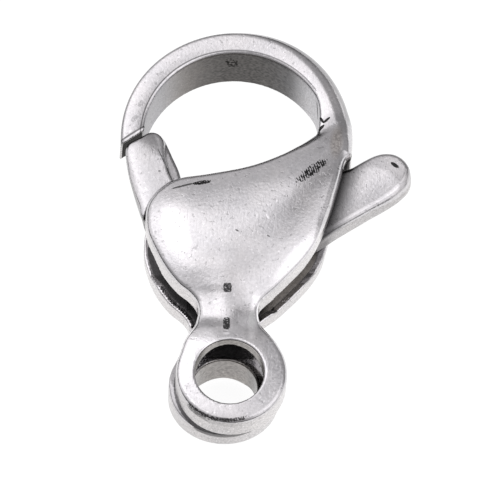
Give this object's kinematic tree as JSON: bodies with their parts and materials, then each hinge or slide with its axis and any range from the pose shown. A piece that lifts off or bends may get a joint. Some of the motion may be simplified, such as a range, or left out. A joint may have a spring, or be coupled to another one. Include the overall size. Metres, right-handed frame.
{
  "type": "lobster clasp",
  "caption": "Small steel lobster clasp: a round hook on a forked belly, a spring lever with a thumb tab that closes it, and an eye at the foot.",
  "frame": {"origin": "axis of the eye's hole, on the middle plane of the lever's slot", "axes": "+Y from the eye towards the hook's round, +Z along the eye's hole out of the front face, +X towards the side of the thumb tab"},
  "size_m": [0.0101, 0.0151, 0.0037],
  "materials": {
    "body_steel": "polished by tumbling, with fine pits and scratches",
    "lever_steel": "polished by tumbling, with fine pits and scratches",
    "pin_steel": "ground flush"
  },
  "bodies": {
    "shell": {"clasp_body": "body_steel", "pivot_pin": "pin_steel"},
    "trigger": {"lever": "lever_steel"}
  },
  "joints": [
    {"name": "lever_hinge", "type": "hinge", "parent": "shell", "child": "trigger", "pos_m": [-0.00089, 0.0055, 0], "axis": [0, 0, -1], "range_deg": [0, 28], "stiffness_Nm_per_rad": 0.004, "springref_deg": -28.65}
  ]
}
